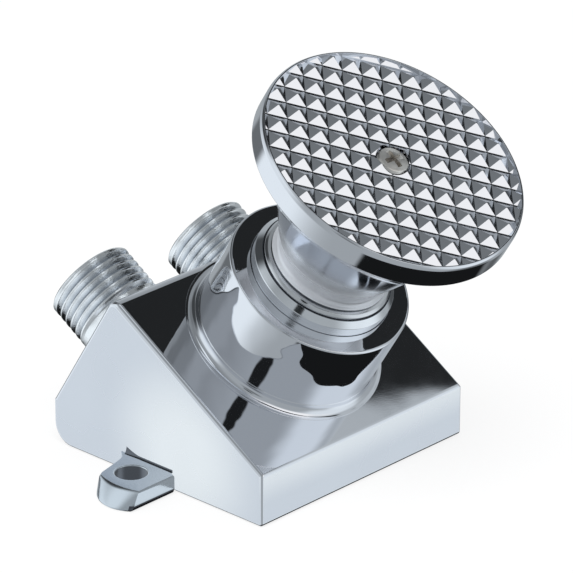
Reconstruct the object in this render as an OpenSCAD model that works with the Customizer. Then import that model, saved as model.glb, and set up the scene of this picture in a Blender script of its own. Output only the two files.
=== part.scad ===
// Foot pedal tap valve: a wedge-shaped floor valve with a spring-loaded mushroom pedal on a sloping boss,
// two threaded ports at the rear and two ears for floor screws.
// Millimetres, +Z up, front face towards -Y. The origin lies on the floor, midway between the ear holes.
// Heights along the pedal axis are counted from the sloping face, positive outwards.

/* [Body] */
// Width of the wedge body across its two upright sides
body_w = 65; // [60:0.5:67]
// Height of the short upright front face
front_h = 12.2; // [11:0.1:16]
// Angle of the sloping face above the floor
slope_deg = 32; // [30:0.5:35]
// Distance of the ridge behind the front face
ridge_run = 45.2; // [44:0.1:52]
// Height of the upright rear face
rear_h = 10.4; // [8:0.1:14]
// Rounding of the ridge
ridge_r = 2; // [0.5:0.1:3]
// Rounding of the rear bottom edge
heel_r = 5; // [2:0.1:6]
// Rounding of the other long edges
edge_r = 0.8; // [0.3:0.1:1.5]

/* [Boss] */
// Distance of the boss centre from the front top edge, measured up the slope
boss_s = 28.4; // [27:0.1:31]
// Radius of the boss
boss_r = 21.3; // [20:0.1:23]
// Height of the boss above the sloping face
boss_h = 20.6; // [18:0.1:26]
// Fillet where the boss meets the sloping face
boss_fillet = 2.2; // [0.5:0.1:3]
// Chamfer of the boss's top edge
boss_chamfer = 0.5; // [0.2:0.1:1]

/* [Ports] */
// Distance between the two port axes
port_spacing = 36.6; // [36:0.1:40]
// Depth of the port axes below the sloping face
port_drop = 16.6; // [15:0.1:18]
// Length of a port beyond the rear slope
port_len = 14.8; // [12:0.1:20]
// Major diameter of the port thread
port_d = 20.955; // [19:0.005:22]
// Thread pitch
port_pitch = 1.814; // [1.2:0.002:2.2]
// Depth of the thread
port_thread_depth = 1.162; // [0.6:0.002:1.3]
// Bore of the ports
port_bore = 13.5; // [10:0.1:14.5]
// How far a port flares out at its root
port_flare = 1.1; // [0.5:0.1:1.2]
// Least smooth length between the rear slope and the thread
port_root = 3; // [2:0.1:5]
// Smooth land between the thread and the port's end
port_land = 0.8; // [0.6:0.1:2]

/* [Ears] */
// Distance of the ear holes behind the front face
ear_setback = 33.6; // [28:0.1:36]
// Distance between the two ear holes
ear_hole_spacing = 77.4; // [77:0.1:90]
// Diameter of an ear hole
ear_hole_d = 7.4; // [4:0.1:8]
// Thickness of an ear
ear_t = 4.3; // [3:0.1:6]
// Distance from an ear hole to the ear's front edge
ear_front = 8.05; // [6:0.05:10]
// Distance from an ear hole to the ear's outer end at the floor
ear_out = 9.8; // [9:0.1:11]
// Distance from an ear hole to the ear's rear edge at the outer end
ear_rear_out = 4.5; // [4.4:0.1:7]
// Distance from an ear hole to the ear's rear edge at the body
ear_rear_in = 7.3; // [6:0.1:10]
// Lean of the ear's outer end away from upright
ear_lean = 35; // [20:1:36]
// Rounding of the ear's curved outer end
ear_end_r = 5; // [2:0.5:6]
// Rounding of the ear's rear outer corner
ear_corner_r = 2.5; // [1:0.1:3]

/* [Bonnet] */
// Radius of the bonnet ring
bonnet_r = 16.5; // [15.8:0.1:17]
// Height of the bonnet ring above the boss
bonnet_rise = 3.6; // [2:0.1:6]
// Height of the bevel on the bonnet's top edge
bonnet_bevel = 1.3; // [0.5:0.1:1.8]
// Depth of the bonnet's hole below the top of the boss
bonnet_depth = 18.6; // [17:0.1:19]
// Wall of the bonnet ring
bonnet_wall = 1.45; // [1.2:0.05:1.9]

/* [Pedal] */
// Travel of the pedal from closed to fully open
pedal_travel = 6; // [3:0.1:6.5]
// Radius of the pedal's round tread
pedal_r = 30.6; // [26:0.1:40]
// Thickness of the tread's rim
pedal_rim = 6; // [5:0.1:8]
// Height of the tread's underside above the plunger
pedal_rise = 29.2; // [26:0.1:36]
// How far the neck is set in from its lip
neck_step = 0.65; // [0.3:0.05:1]
// Radius of the cone where it meets the tread
cone_r = 25.9; // [20:0.1:25.9]
// How far the lip at the bottom of the neck is set in from the plunger's edge
lip_inset = 1.6; // [1.3:0.05:2]
// Height of the lip
lip_h = 1.3; // [0.6:0.1:2]
// Wall of the hollow neck
pedal_wall = 3; // [2:0.1:4]
// Rounding of the tread's lower edge
tread_edge_r = 0.5; // [0.2:0.1:1]

/* [Knurl] */
// Distance between neighbouring pyramids on the tread
knurl_pitch = 4.72; // [3:0.02:6]
// Height of the pyramids
knurl_h = 0.95; // [0.5:0.05:1.6]
// Width of the flat floor between pyramids
knurl_floor = 0.5; // [0.2:0.1:1]
// Width of the flat tip of a pyramid
knurl_tip = 0.2; // [0.1:0.05:0.6]
// Smooth margin between the pyramids and the tread's edge
knurl_margin = 0.8; // [0.7:0.1:4]
// Turn of the pyramid rows about the pedal axis
knurl_turn = -38; // [-90:1:90]
// Place of the first row, as a share of the pitch
knurl_shift = 0.07; // [0:0.01:1]

/* [Screw] */
// Radius of the pedal screw's head
screw_head_r = 3.4; // [3:0.1:4.2]
// Height of the screw head
screw_head_h = 1.9; // [1.5:0.1:2.6]
// Radius of the screw's thread
screw_r = 2.4; // [1.5:0.1:2.6]
// Length of the screw below its head
screw_len = 20; // [16:0.5:24]
// Width of the cross recess
screw_slot = 1; // [0.6:0.1:1.4]

/* [Stem and valve] */
// Radius of the stem where it runs in its guide
stem_r = 3; // [2.5:0.1:3.4]
// Radius of the stem's spigot in the pedal
spigot_r = 4; // [3.6:0.1:4.6]
// Length of the stem's spigot above the plunger
spigot_len = 22.5; // [18:0.5:24]
// Radius of the stem's threaded tail
tail_r = 2; // [1.5:0.1:2.2]
// Wall of the plunger's top
plunger_top = 3; // [2:0.1:4]
// Wall of the plunger's skirt
plunger_wall = 2.05; // [1.6:0.05:2.2]
// Radius of the seat ring's bore
seat_r = 5; // [4.4:0.1:5.6]
// Radius of the valve disc
poppet_r = 6.9; // [6.6:0.1:7.2]
// Thickness of the rubber washer
washer_t = 2.4; // [1.5:0.1:3]
// Thickness of the brass disc that backs the washer
poppet_t = 2; // [1:0.1:2.5]
// Height of the nut under the valve disc
nut_h = 3.2; // [2:0.1:3.5]
// Width of the nut across its flats
nut_af = 7; // [6:0.5:8]
// Radius of the O-ring sections
oring_r = 1; // [0.7:0.05:1.05]

/* [Spring] */
// Wire diameter of the return spring
wire_d = 1.6; // [1:0.1:1.8]
// Distance from the plunger's skirt to the middle of the spring wire
spring_room = 2.5; // [2.3:0.1:3.2]
// Number of turns in the return spring
spring_turns = 5; // [3:0.5:5]

/* [Fits] */
// Radial running clearance of the stem in its guide
stem_clear = 0.06; // [0.03:0.01:0.1]
// Radial sliding clearance of the plunger in the bonnet
plunger_clear = 0.1; // [0.05:0.01:0.1]
// Radial play of screwed and dropped-in parts in their holes
play = 0.1; // [0.05:0.01:0.2]
// Gap between faces that only just meet
seat_gap = 0.05; // [0.02:0.01:0.1]

/* [Hidden] */
$fn = 96;
over = 1;
// Rounded corners meet their flats at a small clear angle
round_lead = 1.01;

// Wedge
front_y = -ear_setback;
ridge_z = front_h + ridge_run * tan(slope_deg);
body_d = ridge_run + (ridge_z - rear_h) * tan(slope_deg);
slope_len = ridge_run / cos(slope_deg);
axis_y = front_y + boss_s * cos(slope_deg);
axis_z = front_h + boss_s * sin(slope_deg);
rear_plane = slope_len - boss_s;
root = 6;
// How far the fillets reach below the face they stand on
sink = 0.15;

// Heights of the stack along the pedal axis
guide_ledge = boss_h - bonnet_depth;
gasket_t = 0.8;
flange_t = 2.5;
flange_bottom = guide_ledge + gasket_t;
flange_top = flange_bottom + flange_t;
spring_washer_t = 0.8;
spring_bottom = flange_top + spring_washer_t;
bonnet_top = boss_h + bonnet_rise;
plunger_rise = 1.3;
plunger_head = bonnet_top + plunger_rise;
plunger_under = plunger_head - plunger_top;
skirt_room = 0.7;
plunger_foot = flange_top + pedal_travel + skirt_room;
spring_top = plunger_under - spring_washer_t;
under_h = plunger_head + pedal_rise;
tread_h = under_h + pedal_rim;
knurl_floor_h = tread_h - knurl_h;

// Valve seat
chamber_r = 12.5;
chamber_h = 5;
seat_wall_r = 10.4;
seat_t = 3.7;
seat_top = guide_ledge - chamber_h;
seat_ledge = seat_top - seat_t - gasket_t;
seat_lip = 1;
seat_lip_len = 1.6;
seat_face = seat_top - seat_t - seat_lip_len;
washer_top = seat_face - seat_gap;
washer_bottom = washer_top - washer_t;
poppet_bottom = washer_bottom - poppet_t;
nut_bottom = poppet_bottom - nut_h;
tail_end = nut_bottom - 0.7;
inlet_r = 8;
inlet_floor = tail_end - pedal_travel - 1;

// Waterways
cross_r = 5;
cross_y = 1.5;
port_blind = -4;
riser_r = 4.2;
riser_x = seat_wall_r + play + riser_r + 1.7;
window_r = 2;
window_h = seat_top + window_r + 0.4;

// Port thread
thread_r = port_d / 2;
core_r = thread_r - port_thread_depth;
crest = port_pitch * 0.28;
flank = (port_pitch - crest) / 2;
port_chamfer = 0.4;
thread_turns = floor((port_len - port_land - port_root - 2 * flank) / port_pitch) + 1;
thread_start = port_len - port_land - 2 * flank - (thread_turns - 1) * port_pitch;

// Guide, plunger and pedal
guide_hub_r = 6.5;
guide_hub_h = 3.2;
guide_spigot = 2;
groove_w = 2 * oring_r + 0.2;
bonnet_bore_r = bonnet_r - bonnet_wall;
plunger_r = bonnet_bore_r - plunger_clear;
skirt_r = plunger_r - plunger_wall;
spring_r = skirt_r - spring_room;
lip_r = plunger_r - lip_inset;
neck_r = lip_r - neck_step;
stem_collar_r = 5.5;
stem_collar_h = 2.5;
spigot_top = plunger_head + spigot_len;
lock_t = 1;
recess_r = screw_head_r + 0.6;
head_h = knurl_floor_h - 1.1;
recess_h = head_h - lock_t;
hub_r = spigot_r + play + 2.9;
knurl_r = pedal_r - knurl_margin;

function unit(v) = v / norm(v);

// Places its children on the pedal axis, with the sloping face at height zero
module on_axis() {
    translate([0, axis_y, axis_z]) rotate([slope_deg, 0, 0]) children();
}

// Flat ring between two heights
module ring(outer, inner, low, high) {
    translate([0, 0, low]) difference() {
        cylinder(r = outer, h = high - low);
        translate([0, 0, -over]) cylinder(r = inner, h = high - low + 2 * over);
    }
}

// Round ring of a round section
module torus(mid_r, section_r, height) {
    translate([0, 0, height]) rotate_extrude() translate([mid_r, 0]) circle(section_r, $fn = 48);
}

// What the rounding of one convex corner takes away
module corner_waste(tip, before, after, r) {
    to_before = unit(before - tip);
    to_after = unit(after - tip);
    half = acos(to_before * to_after) / 2;
    inward = unit(to_before + to_after);
    centre = tip + inward * r / sin(half);
    reach = r / tan(half);
    difference() {
        polygon([tip + to_before * reach, tip - inward * over, tip + to_after * reach, centre]);
        translate(centre) circle(r * round_lead);
    }
}

// Outline with rounded convex corners
module rounded_outline(points, radii) {
    last = len(points) - 1;
    difference() {
        polygon(points);
        for (i = [0:last])
            corner_waste(points[i], points[i == 0 ? last : i - 1], points[i == last ? 0 : i + 1], radii[i]);
    }
}

module wedge() {
    rear_y = front_y + body_d;
    profile = [[front_y, 0], [front_y, front_h], [front_y + ridge_run, ridge_z], [rear_y, rear_h], [rear_y, 0]];
    rotate([90, 0, 90]) linear_extrude(height = body_w, center = true)
        rounded_outline(profile, [edge_r, edge_r, ridge_r, edge_r, heel_r]);
}

// Round boss with a fillet at its foot and a chamfered top edge
module boss() {
    rotate_extrude() {
        polygon([[0, -root], [boss_r, -root], [boss_r, boss_h - boss_chamfer], [boss_r - boss_chamfer, boss_h],
            [0, boss_h]]);
        difference() {
            translate([boss_r - over, -over]) square([boss_fillet + over, boss_fillet - sink + over]);
            translate([boss_r + boss_fillet, boss_fillet - sink]) circle(boss_fillet);
        }
    }
}

// Threaded port standing on the rear slope, along its own axis
module port_stub() {
    flare = [[1.13, -0.1], [0.55, 0.3], [0.2, 0.63], [0, 1]];
    foot = [for (p = flare) [thread_r + p[0] * port_flare, p[1] * port_root]];
    groove = [[thread_r, 0], [core_r, flank], [thread_r, 2 * flank]];
    thread = [for (i = [0:thread_turns - 1]) for (p = groove) [p[0], thread_start + i * port_pitch + p[1]]];
    end = [[thread_r, port_len - port_chamfer], [thread_r - port_chamfer, port_len], [0, port_len]];
    rotate_extrude() polygon(concat([[0, -root], [foot[0][0], -root]], foot, thread, end));
}

module at_port(side) {
    translate([side * port_spacing / 2, 0, -port_drop]) rotate([-90, 0, 0]) children();
}

// Ear on the right-hand side; the left one is its mirror image
module ear() {
    hole_x = ear_hole_spacing / 2;
    inner_x = body_w / 2 - root;
    end_x = hole_x + ear_out;
    outline = [[inner_x, -ear_front], [end_x - 2.4, -ear_front], [end_x - 0.9, -ear_front * 0.76],
        [end_x - 0.1, -ear_front * 0.45], [end_x - 0.2, -ear_front * 0.08], [end_x - 1.1, ear_rear_out * 0.55],
        [end_x - 3, ear_rear_out], [body_w / 2 - over, ear_rear_in], [inner_x, ear_rear_in]];
    radii = [edge_r, edge_r, ear_end_r, ear_end_r, ear_end_r, ear_end_r, ear_corner_r, edge_r, edge_r];
    difference() {
        linear_extrude(height = ear_t) rounded_outline(outline, radii);
        translate([end_x, 0, 0]) rotate([0, -ear_lean, 0]) translate([0, -2 * ear_front, -over])
            cube([2 * ear_out, 4 * ear_front, 2 * ear_t + over]);
    }
}

// Everything that is bored out of the casting, in the frame of the pedal axis
module waterways() {
    translate([0, 0, guide_ledge]) cylinder(r = bonnet_r + play, h = boss_h - guide_ledge + over);
    translate([0, 0, seat_top]) cylinder(r = chamber_r, h = guide_ledge - seat_top + over);
    translate([0, 0, seat_ledge]) cylinder(r = seat_wall_r + play, h = seat_top - seat_ledge + over);
    translate([0, 0, inlet_floor]) cylinder(r = inlet_r, h = seat_ledge - inlet_floor + over);
    for (side = [-1, 1]) at_port(side)
        translate([0, 0, port_blind]) cylinder(d = port_bore, h = rear_plane + port_len - port_blind + over);
    translate([-port_spacing / 2, cross_y, -port_drop]) rotate([0, 90, 0]) cylinder(r = cross_r, h = port_spacing / 2);
    translate([riser_x, 0, -port_drop]) cylinder(r = riser_r, h = window_h + window_r / 2 + port_drop);
    translate([0, 0, window_h]) rotate([0, 90, 0]) cylinder(r = window_r, h = riser_x);
}

module valve_body() {
    color("gainsboro") difference() {
        union() {
            wedge();
            on_axis() boss();
            for (side = [-1, 1]) on_axis() at_port(side) translate([0, 0, rear_plane]) port_stub();
            ear();
            mirror([1, 0, 0]) ear();
        }
        on_axis() waterways();
        for (side = [-1, 1])
            translate([side * ear_hole_spacing / 2, 0, -over]) cylinder(d = ear_hole_d, h = ear_t + 2 * over);
    }
}

module seat_gasket() {
    color("firebrick") on_axis() ring(seat_wall_r, inlet_r, seat_ledge, seat_ledge + gasket_t);
}

module seat_ring() {
    color("goldenrod") on_axis() difference() {
        union() {
            ring(seat_wall_r, seat_r, seat_top - seat_t, seat_top);
            ring(seat_r + seat_lip, seat_r, seat_face, seat_top - seat_t / 2);
        }
        translate([0, 0, seat_face - over]) cylinder(r = seat_r, h = seat_t + seat_lip_len + 2 * over);
    }
}

module guide_gasket() {
    color("firebrick") on_axis() ring(bonnet_r, chamber_r, guide_ledge, flange_bottom);
}

module guide_bush() {
    hub_top = flange_top + guide_hub_h;
    hub_bottom = flange_bottom - guide_spigot;
    bore = stem_r + stem_clear;
    color("goldenrod") on_axis() difference() {
        union() {
            translate([0, 0, flange_bottom]) cylinder(r = bonnet_r, h = flange_t);
            translate([0, 0, hub_bottom]) cylinder(r = guide_hub_r, h = hub_top - hub_bottom);
        }
        translate([0, 0, hub_bottom - over]) cylinder(r = bore, h = hub_top - hub_bottom + 2 * over);
        for (height = guide_grooves())
            translate([0, 0, height - groove_w / 2]) cylinder(r = groove_r(), h = groove_w);
    }
}

// Heights of the two O-ring grooves in the guide, and the radius of the grooves
function guide_grooves() = [flange_bottom - guide_spigot + groove_w, flange_top + guide_hub_h - groove_w];
function groove_r() = stem_r + stem_clear + 2 * oring_r + seat_gap;

module stem_orings() {
    color("dimgray") on_axis() for (height = guide_grooves())
        torus(stem_r + stem_clear + oring_r, oring_r, height);
}

module spring_washer() {
    color("silver") on_axis() ring(skirt_r - 0.6, guide_hub_r + 0.3, flange_top, spring_bottom);
}

module spring_cap() {
    color("silver") on_axis() ring(skirt_r - 0.6, stem_collar_r + 0.4, spring_top, plunger_under);
}

// One unbroken tube along a helix, with its closed ends
spring_sides = 6;
spring_rings = 8;
spring_low = spring_bottom + wire_d / 2 + seat_gap;
spring_high = spring_top - wire_d / 2 - seat_gap;
spring_steps = spring_turns * spring_rings;
function spring_point(i) =
    let (a = 360 * i / spring_rings) [spring_r * cos(a), spring_r * sin(a),
        spring_low + (spring_high - spring_low) * i / spring_steps];
function spring_skin(i) =
    let (a = 360 * i / spring_rings, out = [cos(a), sin(a), 0], centre = spring_point(i))
    [for (k = [0:spring_sides - 1])
        let (b = 360 * k / spring_sides) centre + wire_d / 2 * (cos(b) * out + sin(b) * [0, 0, 1])];
spring_self_gap = min([for (i = [0:spring_steps - spring_rings])
    norm(spring_point(i + spring_rings) - spring_point(i)) - wire_d]);
echo(spring_self_gap = spring_self_gap);

module return_spring() {
    skin = [for (i = [0:spring_steps]) each spring_skin(i)];
    sides = spring_sides;
    last = spring_steps * sides;
    walls = [for (i = [0:spring_steps - 1]) for (k = [0:sides - 1])
        let (a = i * sides + k, b = i * sides + (k + 1) % sides)
        each [[a, b, a + sides], [b, b + sides, a + sides]]];
    first_cap = [for (k = [1:sides - 2]) [0, k + 1, k]];
    last_cap = [for (k = [1:sides - 2]) [last, last + k, last + k + 1]];
    color("slategray") on_axis() polyhedron(skin, concat(walls, first_cap, last_cap));
}

module bonnet() {
    bevel_r = bonnet_bore_r + 0.25;
    color("silver") on_axis() difference() {
        rotate_extrude() polygon([[bonnet_bore_r, flange_top], [bonnet_r, flange_top],
            [bonnet_r, bonnet_top - bonnet_bevel], [bevel_r, bonnet_top], [bonnet_bore_r, bonnet_top]]);
        ring(bonnet_r + over, bonnet_r - bonnet_groove(), bonnet_seal_h() - groove_w / 4, bonnet_seal_h() + groove_w / 4);
    }
}

// Groove for the seal that keeps the boss dry around the bonnet
function bonnet_groove() = oring_r * 0.8;
function bonnet_seal_h() = boss_h - 4 * oring_r;

module bonnet_oring() {
    section = bonnet_groove() / 2 - seat_gap / 2;
    color("dimgray") on_axis() torus(bonnet_r - bonnet_groove() / 2, section, bonnet_seal_h());
}

// Heights of the guide ring and the seal on the plunger
function plunger_ring_low() = plunger_foot + 1;
function plunger_ring_high() = plunger_ring_low() + 2.5;
function plunger_seal_h() = plunger_under - groove_w;
plunger_groove = 1.2;

module plunger() {
    edge = 0.4;
    color("silver") on_axis() difference() {
        rotate_extrude() polygon([[spigot_r + play, plunger_under], [skirt_r, plunger_under], [skirt_r, plunger_foot],
            [plunger_r, plunger_foot], [plunger_r, plunger_head - 2 * edge], [plunger_r - edge, plunger_head - edge / 2],
            [plunger_r - 3 * edge, plunger_head], [spigot_r + play, plunger_head]]);
        ring(plunger_r + over, plunger_r - plunger_groove, plunger_ring_low(), plunger_ring_high());
        ring(plunger_r + over, plunger_r - plunger_groove, plunger_seal_h() - groove_w / 2, plunger_seal_h() + groove_w / 2);
    }
}

module plunger_ring() {
    color("ivory") on_axis()
        ring(plunger_r + plunger_clear / 2, plunger_r - plunger_groove, plunger_ring_low(), plunger_ring_high());
}

module plunger_oring() {
    section = plunger_groove / 2;
    color("dimgray") on_axis() torus(plunger_r - section, section, plunger_seal_h());
}

module stem() {
    collar_bottom = plunger_under - stem_collar_h;
    color("lightsteelblue") on_axis() difference() {
        union() {
            translate([0, 0, tail_end]) cylinder(r = tail_r, h = washer_top - tail_end + over);
            translate([0, 0, washer_top]) cylinder(r = stem_r, h = collar_bottom - washer_top + over);
            translate([0, 0, collar_bottom]) cylinder(r = stem_collar_r, h = stem_collar_h);
            translate([0, 0, plunger_under - over]) cylinder(r = spigot_r, h = spigot_top - plunger_under + over);
        }
        translate([0, 0, head_h - screw_len - over]) cylinder(r = screw_r + seat_gap, h = screw_len + over);
    }
}

module poppet_washer() {
    color("dimgray") on_axis() ring(poppet_r, tail_r + play, washer_bottom, washer_top);
}

module poppet_disc() {
    color("goldenrod") on_axis() ring(poppet_r, tail_r + play, poppet_bottom, washer_bottom);
}

module poppet_nut() {
    color("lightsteelblue") on_axis() translate([0, 0, nut_bottom]) difference() {
        cylinder(d = nut_af / cos(30), h = nut_h, $fn = 6);
        translate([0, 0, -over]) cylinder(r = tail_r + play, h = nut_h + 2 * over);
    }
}

// Grooves that leave rows of square pyramids, all along one direction
module knurl_grooves() {
    reach = pedal_r + knurl_pitch;
    rows = ceil(reach / knurl_pitch);
    half_floor = knurl_floor / 2;
    half_top = (knurl_pitch - knurl_tip) / 2;
    lift = 1 + over / knurl_h;
    half_over = half_floor + (half_top - half_floor) * lift;
    for (i = [-rows:rows])
        translate([0, (i + knurl_shift) * knurl_pitch, knurl_floor_h]) rotate([90, 0, 90])
            linear_extrude(height = 2 * reach, center = true) polygon([[-half_floor, 0], [half_floor, 0],
                [half_over, knurl_h * lift], [-half_over, knurl_h * lift]]);
}

module pedal() {
    bottom = plunger_head;
    neck_h = bottom + lip_h;
    slope = (cone_r - neck_r) / (under_h - neck_h);
    core_top = under_h - pedal_wall - 1;
    core_foot_r = neck_r - pedal_wall;
    core_top_r = neck_r + slope * (core_top - neck_h) - pedal_wall * sqrt(1 + slope * slope);
    color("gainsboro") on_axis() difference() {
        rotate_extrude() difference() {
            polygon([[0, bottom], [lip_r, bottom], [lip_r, bottom + lip_h / 2], [neck_r, neck_h], [cone_r, under_h],
                [pedal_r - tread_edge_r, under_h], [pedal_r, under_h + tread_edge_r], [pedal_r, tread_h - 1.1],
                [pedal_r - 0.2, tread_h - 0.4], [pedal_r - 0.5, tread_h], [0, tread_h]]);
            polygon([[hub_r, bottom - over], [core_foot_r, bottom - over], [core_foot_r, neck_h],
                [core_top_r, core_top], [hub_r, core_top]]);
        }
        translate([0, 0, bottom - over]) cylinder(r = spigot_r + play, h = spigot_len + seat_gap + over);
        translate([0, 0, bottom]) cylinder(r = screw_r + 0.35, h = tread_h - bottom + over);
        translate([0, 0, recess_h]) cylinder(r = recess_r, h = tread_h - recess_h + over);
        intersection() {
            for (turn = [0, 90]) rotate([0, 0, knurl_turn + turn]) knurl_grooves();
            translate([0, 0, knurl_floor_h - over]) cylinder(r = knurl_r, h = knurl_h + 3 * over);
        }
    }
}

module pedal_lock_washer() {
    color("silver") on_axis() ring(screw_head_r - 0.1, screw_r + 0.2, recess_h, head_h);
}

// Pan head with a cross recess
module pedal_screw() {
    slot_len = screw_head_r * 1.25;
    slot_depth = screw_head_h * 0.65;
    flat_r = screw_head_r * 0.55;
    color("lightgray") on_axis() difference() {
        union() {
            rotate_extrude() polygon([[0, head_h], [screw_head_r, head_h], [screw_head_r, head_h + screw_head_h * 0.4],
                [screw_head_r * 0.92, head_h + screw_head_h * 0.7], [flat_r, head_h + screw_head_h],
                [0, head_h + screw_head_h]]);
            translate([0, 0, head_h - screw_len]) cylinder(r = screw_r, h = screw_len + over);
        }
        for (turn = [0, 90]) rotate([0, 0, turn + knurl_turn]) translate([0, 0, head_h + screw_head_h])
            cube([slot_len, screw_slot, 2 * slot_depth], center = true);
    }
}

valve_body();
seat_gasket();
seat_ring();
guide_gasket();
guide_bush();
stem_orings();
spring_washer();
return_spring();
spring_cap();
bonnet();
bonnet_oring();
plunger();
plunger_ring();
plunger_oring();
stem();
poppet_washer();
poppet_disc();
poppet_nut();
pedal();
pedal_lock_washer();
pedal_screw();
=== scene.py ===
"""Foot pedal tap valve: detailed pieces, materials, studio light and the photo's camera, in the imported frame."""

import math

import bmesh
import bpy
from mathutils import Matrix, Vector

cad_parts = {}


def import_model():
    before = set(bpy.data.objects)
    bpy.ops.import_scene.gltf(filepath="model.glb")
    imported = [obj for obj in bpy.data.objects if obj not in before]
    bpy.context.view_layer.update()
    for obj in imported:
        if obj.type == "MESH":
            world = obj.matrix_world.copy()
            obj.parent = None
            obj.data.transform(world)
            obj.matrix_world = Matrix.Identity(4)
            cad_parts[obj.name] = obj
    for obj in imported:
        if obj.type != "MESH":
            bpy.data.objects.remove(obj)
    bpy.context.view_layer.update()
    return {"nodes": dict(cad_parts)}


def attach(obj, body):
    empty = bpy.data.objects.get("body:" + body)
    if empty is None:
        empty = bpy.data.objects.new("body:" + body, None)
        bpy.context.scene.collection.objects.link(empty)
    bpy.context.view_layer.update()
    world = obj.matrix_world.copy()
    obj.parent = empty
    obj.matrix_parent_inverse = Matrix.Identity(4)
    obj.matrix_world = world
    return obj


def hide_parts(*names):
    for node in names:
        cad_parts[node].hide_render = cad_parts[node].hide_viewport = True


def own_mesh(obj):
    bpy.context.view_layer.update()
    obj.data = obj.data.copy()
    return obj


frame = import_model()

MM = 0.001

# Sizes of the part, in millimetres
BODY_W = 65.0
FRONT_Y = -33.6
FRONT_H = 12.2
SLOPE = math.radians(32)
RIDGE_RUN = 45.2
REAR_H = 10.4
BOSS_S = 28.4
BOSS_R = 21.3
BOSS_H = 20.6
EAR_X = 38.7
EAR_H = 4.3
EAR_HOLE_R = 3.7
BONNET_R = 16.5
BONNET_BORE = 15.05
BONNET_LOW = 8.0
BONNET_TOP = 24.2
BONNET_BEVEL_R = 15.3
PLUNGER_R = 14.95
PLUNGER_BORE = 12.9
PLUNGER_LOW = 12.7
PLUNGER_ROOF = 22.5
PLUNGER_HEAD = 25.5
STEM_HOLE_R = 4.2
SPRING_LOW = 6.1
SPRING_HIGH = 21.7
LIP_R = 13.75
LIP_TOP = (13.5, 26.3)
NECK_FOOT = (14.8, 32.0)
PEDAL_R = 30.6
PEDAL_LOW = 54.7
TREAD_H = 60.7
KNURL_FLOOR = 59.5
KNURL_R = 29.8
KNURL_PITCH = 4.72
KNURL_PLACE = (0.43, 0.57)
KNURL_TURN = math.radians(-38)
RECESS_R = 4.0
RECESS_H = 57.65
HEAD_H = 58.65
HEAD_R = 3.75
SHANK_R = 2.4
SHANK_LOW = 55.0
PORT_X = 18.3
PORT_DROP = 16.6
PORT_LEN = 14.8
PORT_BORE = 6.75
PORT_SIDES = 144
RISER_X = 16.4
THREAD_LOW = 3.3
THREAD_HIGH = 14.1
THREAD_R = 10.4775
CORE_R = 9.3155
PITCH = 1.814

BOSS_BORE = BONNET_R + 0.1
RIDGE_Z = FRONT_H + RIDGE_RUN * math.tan(SLOPE)
BODY_D = RIDGE_RUN + (RIDGE_Z - REAR_H) * math.tan(SLOPE)
AXIS_Y = FRONT_Y + BOSS_S * math.cos(SLOPE)
AXIS_Z = FRONT_H + BOSS_S * math.sin(SLOPE)
REAR_PLANE = RIDGE_RUN / math.cos(SLOPE) - BOSS_S
ON_AXIS = Matrix.Translation((0, AXIS_Y, AXIS_Z)) @ Matrix.Rotation(SLOPE, 4, "X")
ON_FLOOR = Matrix.Identity(4)
SIDES = {-1: "left", 1: "right"}
SQUARE = ((-1, -1), (1, -1), (1, 1), (-1, 1))


def at_port(side):
    """Place of a port's foot on the rear slope, with Z along the port."""
    return (ON_AXIS @ Matrix.Translation((side * PORT_X, REAR_PLANE, -PORT_DROP))
            @ Matrix.Rotation(math.radians(-90), 4, "X"))


# Mesh helpers

WELD = 2e-7
SMOOTH = 32


def link(name, data):
    """Makes an object and puts it into the scene."""
    obj = bpy.data.objects.new(name, data)
    bpy.context.scene.collection.objects.link(obj)
    return obj


def turn_outward(mesh, weld=0.0):
    """Turns all faces outward, and first joins points that lie closer than the given distance."""
    work = bmesh.new()
    work.from_mesh(mesh)
    if weld > 0:
        bmesh.ops.remove_doubles(work, verts=work.verts, dist=weld)
    bmesh.ops.recalc_face_normals(work, faces=work.faces)
    work.to_mesh(mesh)
    work.free()


def piece(name, verts, faces, place, body, slot, nodes, material, smooth=SMOOTH):
    """Makes one object of the part from points in millimetres."""
    mesh = bpy.data.meshes.new(name)
    mesh.from_pydata([(place @ Vector(v)) * MM for v in verts], [], faces)
    turn_outward(mesh, WELD)
    return finish_piece(name, mesh, body, slot, nodes, material, smooth)


def finish_piece(name, mesh, body, slot, nodes, material, smooth=SMOOTH):
    """Makes an object of a mesh and gives it its finish, its body and the CAD nodes that it replaces; the slot is not
    used.
    """
    obj = link(name, mesh)
    mesh.materials.append(material)
    for poly in mesh.polygons:
        poly.use_smooth = smooth > 0
    if smooth > 0:
        mesh.set_sharp_from_angle(angle=math.radians(smooth))
        weigh = obj.modifiers.new("Even normals", "WEIGHTED_NORMAL")
        weigh.keep_sharp = True
        weigh.weight = 60
    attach(obj, body)
    if nodes:
        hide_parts(*nodes)
    return obj


def patch(obj, material, place, test):
    """Gives another finish to the faces whose middle and normal, in the given place, pass a test."""
    mesh = obj.data
    mesh.materials.append(material)
    into = place.inverted()
    for poly in mesh.polygons:
        if test(into @ (poly.center / MM), into.to_3x3() @ poly.normal):
            poly.material_index = len(mesh.materials) - 1


def swing(centre, arm, turn, steps):
    """Points that the end of an arm passes as it turns about a centre."""
    out = []
    for k in range(steps + 1):
        t = turn * k / steps
        out.append((centre.x + arm.x * math.cos(t) - arm.y * math.sin(t),
                    centre.y + arm.x * math.sin(t) + arm.y * math.cos(t)))
    return out


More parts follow.
